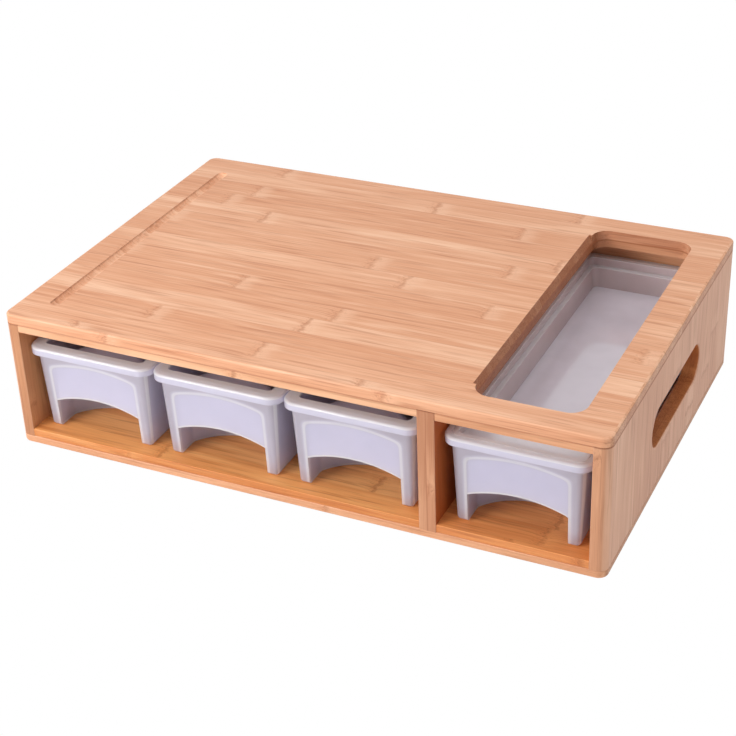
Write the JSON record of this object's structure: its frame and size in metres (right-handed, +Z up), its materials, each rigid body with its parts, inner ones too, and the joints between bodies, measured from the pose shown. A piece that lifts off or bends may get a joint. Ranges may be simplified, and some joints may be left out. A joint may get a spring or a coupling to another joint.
{
  "type": "cutting board with drawer trays",
  "caption": "Bamboo cutting board on a low open-fronted box with side hand slots, pull-out translucent trays and an opening for sweeping food into a tray.",
  "frame": {"origin": "middle of the underside, on the surface that the box stands on", "axes": "+X along the board towards the opening, +Y from the open front to the back panel, +Z up"},
  "size_m": [0.45, 0.303, 0.1065],
  "materials": {
    "bamboo_board": "oiled, satin",
    "bamboo_box": "oiled, satin",
    "bamboo_side": "oiled, satin, upright grain",
    "bamboo_floor": "oiled, satin",
    "beech_dowel": "plain",
    "screw_steel": "zinc plated",
    "milky_plastic": "translucent, moulded",
    "insert_plastic": "translucent, moulded"
  },
  "bodies": {
    "box": {"cutting_board": "bamboo_board", "left_under_panel": "bamboo_box", "right_under_panel": "bamboo_box", "left_side_panel": "bamboo_side", "right_side_panel": "bamboo_side", "divider_panel": "bamboo_side", "back_panel": "bamboo_side", "base_panel": "bamboo_box", "left_floor_panel": "bamboo_floor", "right_floor_panel": "bamboo_floor", "left_side_dowels": "beech_dowel", "right_side_dowels": "beech_dowel", "divider_dowels": "beech_dowel", "base_screws": "screw_steel"},
    "tray_1": {"tray_1": "milky_plastic"},
    "tray_2": {"tray_2": "milky_plastic"},
    "tray_3": {"tray_3": "milky_plastic"},
    "tray_4": {"tray_4": "milky_plastic", "drop_in_tray": "insert_plastic"}
  },
  "joints": [
    {"name": "tray_1_slide", "type": "slide", "parent": "box", "child": "tray_1", "axis": [0, -1, 0], "range_m": [0, 0.296]},
    {"name": "tray_2_slide", "type": "slide", "parent": "box", "child": "tray_2", "axis": [0, -1, 0], "range_m": [0, 0.296]},
    {"name": "tray_3_slide", "type": "slide", "parent": "box", "child": "tray_3", "axis": [0, -1, 0], "range_m": [0, 0.296]},
    {"name": "tray_4_slide", "type": "slide", "parent": "box", "child": "tray_4", "axis": [0, -1, 0], "range_m": [0, 0.296]}
  ]
}
